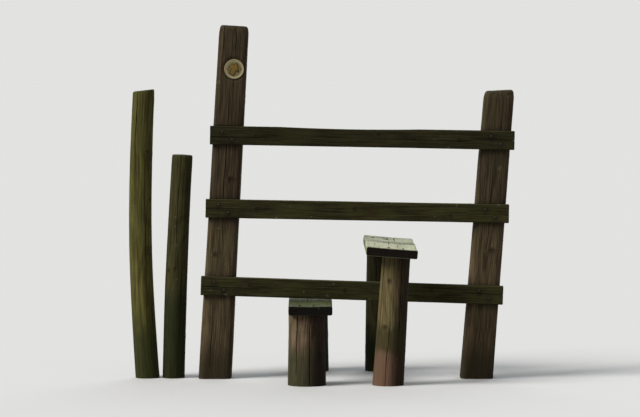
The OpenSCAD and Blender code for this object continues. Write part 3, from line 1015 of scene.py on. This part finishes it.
POSTS = (
    ("waymark_post", 11, SEAT, [
        (0.755, 0.62, 1.34, 6, 14), (0.70, 0.05, 0.36, 4, 7), (0.79, 1.2, 2.0, 4, 8),
        (0.24, 0.03, 0.52, 6, 14), (0.98, 0.5, 1.15, 5, 9), (0.53, 0.9, 1.9, 5, 9),
        (0.30, 0.9, 2.0, 4, 7), (0.08, 1.5, 1.9, 4, 7), (0.665, 1.52, 1.85, 4, 6),
    ], [(0.81, 0.93, 12), (0.69, 0.58, 9), (0.03, 1.3, 12), (0.47, 0.7, 12)]),
    ("right_post", 23, None, [
        (0.74, 0.5, 1.0, 4, 8), (0.25, 0.66, 1.24, 6, 14), (0.52, 0.2, 0.9, 5, 9),
        (0.02, 0.7, 1.7, 5, 9), (0.8, 0.95, 1.8, 4, 7), (0.42, 1.2, 1.6, 4, 7),
    ], [(0.78, 0.6, 11), (0.46, 1.0, 12), (0.22, 0.4, 11)]),
)
LEGS = (
    ("lower_near_leg", 83, LOG_LOW, [(0.78, -0.2, 0.33, 5, 11), (0.66, 0.05, 0.5, 4, 7)]),
    ("lower_far_leg", 89, LOG_FAR, [(0.2, -0.1, 0.35, 5, 11), (0.34, 0.05, 0.5, 4, 7)]),
    ("upper_near_leg", 97, LOG_HIGH, [
        (0.83, 0.12, 0.7, 6, 12), (0.72, -0.2, 0.3, 4, 7), (0.6, 0.2, 0.9, 4, 8)]),
    ("upper_far_leg", 101, LOG_FAR, [(0.19, 0.15, 0.7, 6, 12), (0.7, 0.1, 0.8, 4, 8)]),
)
GUARDS = (
    ("tall_guard_post", 103, TALL_GUARD, [
        (0.83, 0.33, 1.0, 6, 12), (0.68, 0.8, 1.6, 4, 8), (0.9, 0.02, 0.4, 4, 7),
        (0.3, 0.5, 1.6, 5, 9)]),
    ("short_guard_post", 107, SHORT_GUARD, [
        (0.3, 0.46, 0.93, 6, 12), (0.75, 0.5, 1.3, 4, 8), (0.85, 0.1, 0.5, 4, 7)]),
)


def rail(name, seed):
    """A rail, its faces 0 far, 1 top, 2 near and 3 bottom."""
    pick = np.random.default_rng(seed).uniform
    cracks = [
        (2 + pick(0.3, 0.7), -0.9, -0.3 + pick(-0.1, 0.1), 3.5, 6),
        (2 + pick(0.2, 0.8), 0.05, 0.5, 3, 5), (2 + pick(0.3, 0.7), 0.5, 0.95, 3, 5),
        (1.5, 0.1, 0.6, 3, 5), (0.6, -0.5, 0.2, 3, 5), (0.4, 0.4, 1.0, 3, 5)]
    knots = [(2 + pick(0.25, 0.75), x + pick(-0.08, 0.08), pick(6, 9))
             for x in (-0.42, 0.0, 0.37)] + [(0.5, 0.1, 9), (0.3, -0.4, 8)]
    skin = board(name, (1, 0, 0), seed, cracks, knots, rail_nails[name], pith=(0.03, -0.05), edge=4,
                 wander=4, pitch=COLUMN_PITCH, chips=2.5)
    to_object(name, "timber", skin, RAIL)


def tread(step, seed, material):
    """A tread, its faces 0 left, 1 top, 2 right and 3 bottom."""
    cracks = [
        (1.30, -0.66, -0.2, 5, 10), (1.62, 0.16, 0.62, 5, 10), (1.48, -0.2, 0.25, 4, 6),
        (0.5, -0.6, -0.25, 4, 7), (1.80, -0.56, -0.36, 4, 7), (3.4, -0.6, -0.1, 4, 7)]
    knots = [(1.68, -0.24, 12), (1.22, 0.12, 10), (3.5, 0.3, 11)]
    skin = board(f"{step}_tread", (0, 1, 0), seed, cracks, knots, tread_nails[step],
                 pith=(0.02, -0.085), edge=7, wander=6, dish=2.5, grain=0.7)
    to_object(f"{step}_tread", "plank", skin, material)


def log(name, seed, material, cracks, slot, part, sizes, spacing, **form):
    """A round log, with knots of some sizes at random in a part of its height."""
    pick = np.random.default_rng(seed).uniform
    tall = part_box(name)[1].z
    knots = [(pick(), pick(*part) * tall, pick(*sizes))
             for _ in range(round(tall / spacing))]
    skin = standing(name, seed, cracks, knots, wander=7, rounding=7, **form)
    to_object(name, "log", skin, material)


for name, seed, seat, cracks, knots in POSTS:
    skin = standing(name, seed, cracks, knots, wander=5, notched=True, seat=seat)
    to_object(name, "timber", skin, MAIN_POST)
for name, seed in (("top_rail", 31), ("middle_rail", 43), ("bottom_rail", 57)):
    rail(name, seed)
tread("lower", 61, TREAD_LOW)
tread("upper", 79, TREAD_HIGH)
for leg in LEGS:
    log(*leg, "log_timber", part=(0.15, 0.85), sizes=(8, 12), spacing=0.13, capped=False, lumps=1.8)
for guard in GUARDS:
    log(*guard, "guard_timber", part=(0.1, 0.9), sizes=(6, 10), spacing=0.16, lumps=1.6)


# The waymark disc

FACE_Y = Solid("waymark_disc").hit(DISC_MIDDLE + NEAR, -NEAR)[0].y
ARROW_SIZE = dict(length=54 * MM, shaft=20 * MM, head=46 * MM, head_l=27 * MM)
ARROW_TURN = radians(62)
PIN_HEAD = in_mm((2.6, -0.5), (2.8, 0.4), (2.4, 1.0), (1.2, 1.4), (0.3, 1.5))
PIN_REACH = 31 * MM


def waymark_plate():
    """Moulded disc with a rounded rim round its lower face."""
    r, t, face = DISC_R, disc_high.y - disc_low.y, disc_high.y - FACE_Y
    inner = r - RIM_W
    profile = [(r - 0.6 * MM, 0), (r, 0.6 * MM), (r, t - 1.2 * MM), (r - 0.4 * MM, t - 0.3 * MM),
               (r - 1.4 * MM, t), (inner + 1.2 * MM, t), (inner + 0.2 * MM, t - 0.5 * MM),
               (inner - 0.6 * MM, face + 0.2 * MM), (inner - 1.6 * MM, face)]
    profile += [((inner - 1.6 * MM) * k, face) for k in (0.8, 0.6, 0.4, 0.2, 0.03)]
    mesh = new_mesh("waymark_plate", *turned(profile, 96, (SEAT.x, SEAT.y, SEAT.z), NEAR))
    finished(mesh, DISC, "waymark_disc")


def arrow_outline(length, shaft, head, head_l, grow=0.0):
    """Corners of an arrow that points along +x, counterclockwise, grown by a border."""
    tip, back, neck = length / 2, -length / 2, length / 2 - head_l
    slant = grow * hypot(head / 2, head_l) / (head / 2)
    barb = head / 2 + grow * (1 + hypot(head / 2, head_l) / head_l) / 2 * 1.3
    lower = [(back - grow, -shaft / 2 - grow), (neck - grow, -shaft / 2 - grow), (neck - grow, -barb)]
    return [*lower, (tip + slant, 0), *((x, -z) for x, z in reversed(lower))]


def arrow_plate(name, corners, low, high, material):
    """Flat arrow with a bevelled edge, on the disc's face."""
    c, s = cos(ARROW_TURN), sin(ARROW_TURN)
    mid = np.mean(corners, axis=0)
    points = []
    for level, inset in ((low, 0.0), (high - 0.2 * MM, 0.0), (high, 0.012)):
        for x, z in (np.array(corners) - mid) * (1 - inset) + mid:
            points.append((DISC_MIDDLE.x + c * x - s * z, FACE_Y - level, DISC_MIDDLE.z + s * x + c * z))
    mesh = new_mesh(name, points, closed_rings(3, len(corners)))
    finished(mesh, material)


waymark_plate()
border = arrow_outline(**ARROW_SIZE, grow=4 * MM)
arrow_plate("arrow_border", border, -0.3 * MM, 0.4 * MM, ARROW_EDGE)
arrow_plate("arrow_face", arrow_outline(**ARROW_SIZE), 0.2 * MM, 0.9 * MM, ARROW)
iron_piece("disc_pins", [
    turned(PIN_HEAD, 20, (DISC_MIDDLE.x + side * PIN_REACH, FACE_Y, DISC_MIDDLE.z), NEAR, 0.04, 5)
    for side in (-1, 1)])


# Floor, lights and camera

FLOOR_COLOUR = (0.665, 0.665, 0.665, 1)
FLOOR_BOUNCE = (0.4, 0.4, 0.395, 1)
FLOOR_REACH = 80.0
BACKDROP_COLOUR = (0.762, 0.762, 0.755, 1)
SKY_COLOUR = (0.96, 0.98, 1.0, 1)


def seen_directly(g):
    """1 for rays that show the background: straight, mirrored or through glass."""
    rays = g.node("LightPath").outputs
    bent = g.math("MAXIMUM", rays["Is Glossy Ray"], rays["Is Transmission Ray"])
    return g.math("MAXIMUM", rays["Is Camera Ray"], bent)


def stage_floor():
    r = FLOOR_REACH
    mesh = new_mesh("floor", [(-r, -r, 0), (r, -r, 0), (r, r, 0), (-r, r, 0)], [(0, 1, 2, 3)])
    g = Material("floor_pale")
    colour = g.mix(seen_directly(g), FLOOR_BOUNCE, FLOOR_COLOUR)
    mesh.materials.append(g.surface(colour, roughness=1.0, specular=0.0))
    new_object("floor", mesh)


def sun(name, azimuth, elevation, strength, softness, colour):
    """Distant soft light: azimuth turns from the camera's side to the right, in degrees."""
    light = bpy.data.lights.new(name, "SUN")
    light.energy, light.angle, light.color = strength, radians(softness), colour
    a, e = radians(azimuth), radians(elevation)
    aim(new_object(name, light), Vector((-sin(a) * cos(e), cos(a) * cos(e), -sin(e))))


def studio_world(ambient):
    """Even light from all round, and a plain backdrop."""
    scene.world = bpy.data.worlds.new("studio")
    g = Graph(scene.world)
    sky = g.node("Background", {"Color": SKY_COLOUR, "Strength": ambient}).outputs[0]
    backdrop = g.node("Background", {"Color": BACKDROP_COLOUR}).outputs[0]
    either = g.node("MixShader", {0: seen_directly(g), 1: sky, 2: backdrop})
    g.fill(g.tree.nodes["World Output"], {"Surface": either.outputs[0]})


stage_floor()
sun("key", azimuth=-66, elevation=39, strength=3.4, softness=28, colour=(1.0, 0.98, 0.94))
sun("back", azimuth=172, elevation=35, strength=1.2, softness=50, colour=(0.95, 0.98, 1.0))
studio_world(ambient=0.27)
scene.view_settings.view_transform = "Standard"

# The photograph is taken at eye height, 16 m away and square to the fence
camera = scene.camera = new_object("camera", bpy.data.cameras.new("camera"))
camera.data.lens = 193.5
camera.data.clip_end = 200
camera.location = (0.45, -16.0, 1.65)
aim(camera, Vector((0.49, 0, 0.79)) - camera.location)
